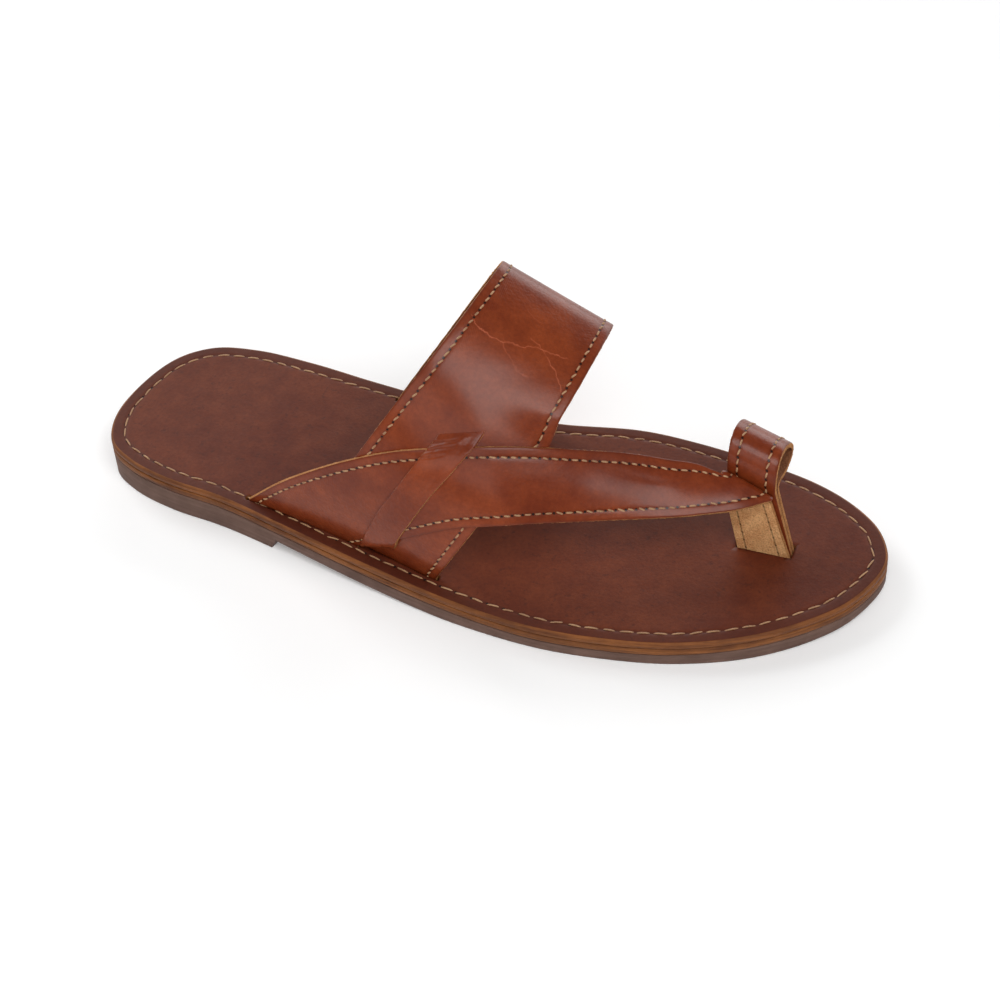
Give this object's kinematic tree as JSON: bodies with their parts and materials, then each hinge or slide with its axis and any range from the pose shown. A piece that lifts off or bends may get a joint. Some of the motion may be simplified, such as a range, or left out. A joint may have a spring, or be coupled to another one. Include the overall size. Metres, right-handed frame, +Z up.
{
  "type": "leather sandal",
  "caption": "Flat open sandal for the right foot: wide instep band, diagonal toe strap under a cut bridge, toe loop, layered sole with a low heel.",
  "frame": {"origin": "middle of the sole's length and width, on the floor plane that the heel and forefoot rest on", "axes": "+X toward the toe, +Y toward the medial side, where the big toe lies, +Z up"},
  "size_m": [0.28, 0.1042, 0.0934],
  "materials": {
    "strap_leather": "semi-gloss",
    "footbed_leather": "satin",
    "edge_leather": "matte",
    "sole_rubber": "matte"
  },
  "bodies": {
    "root": {"insole": "footbed_leather", "midsole": "edge_leather", "outsole": "sole_rubber", "toe_ring": "strap_leather", "upper": "strap_leather"}
  },
  "joints": []
}
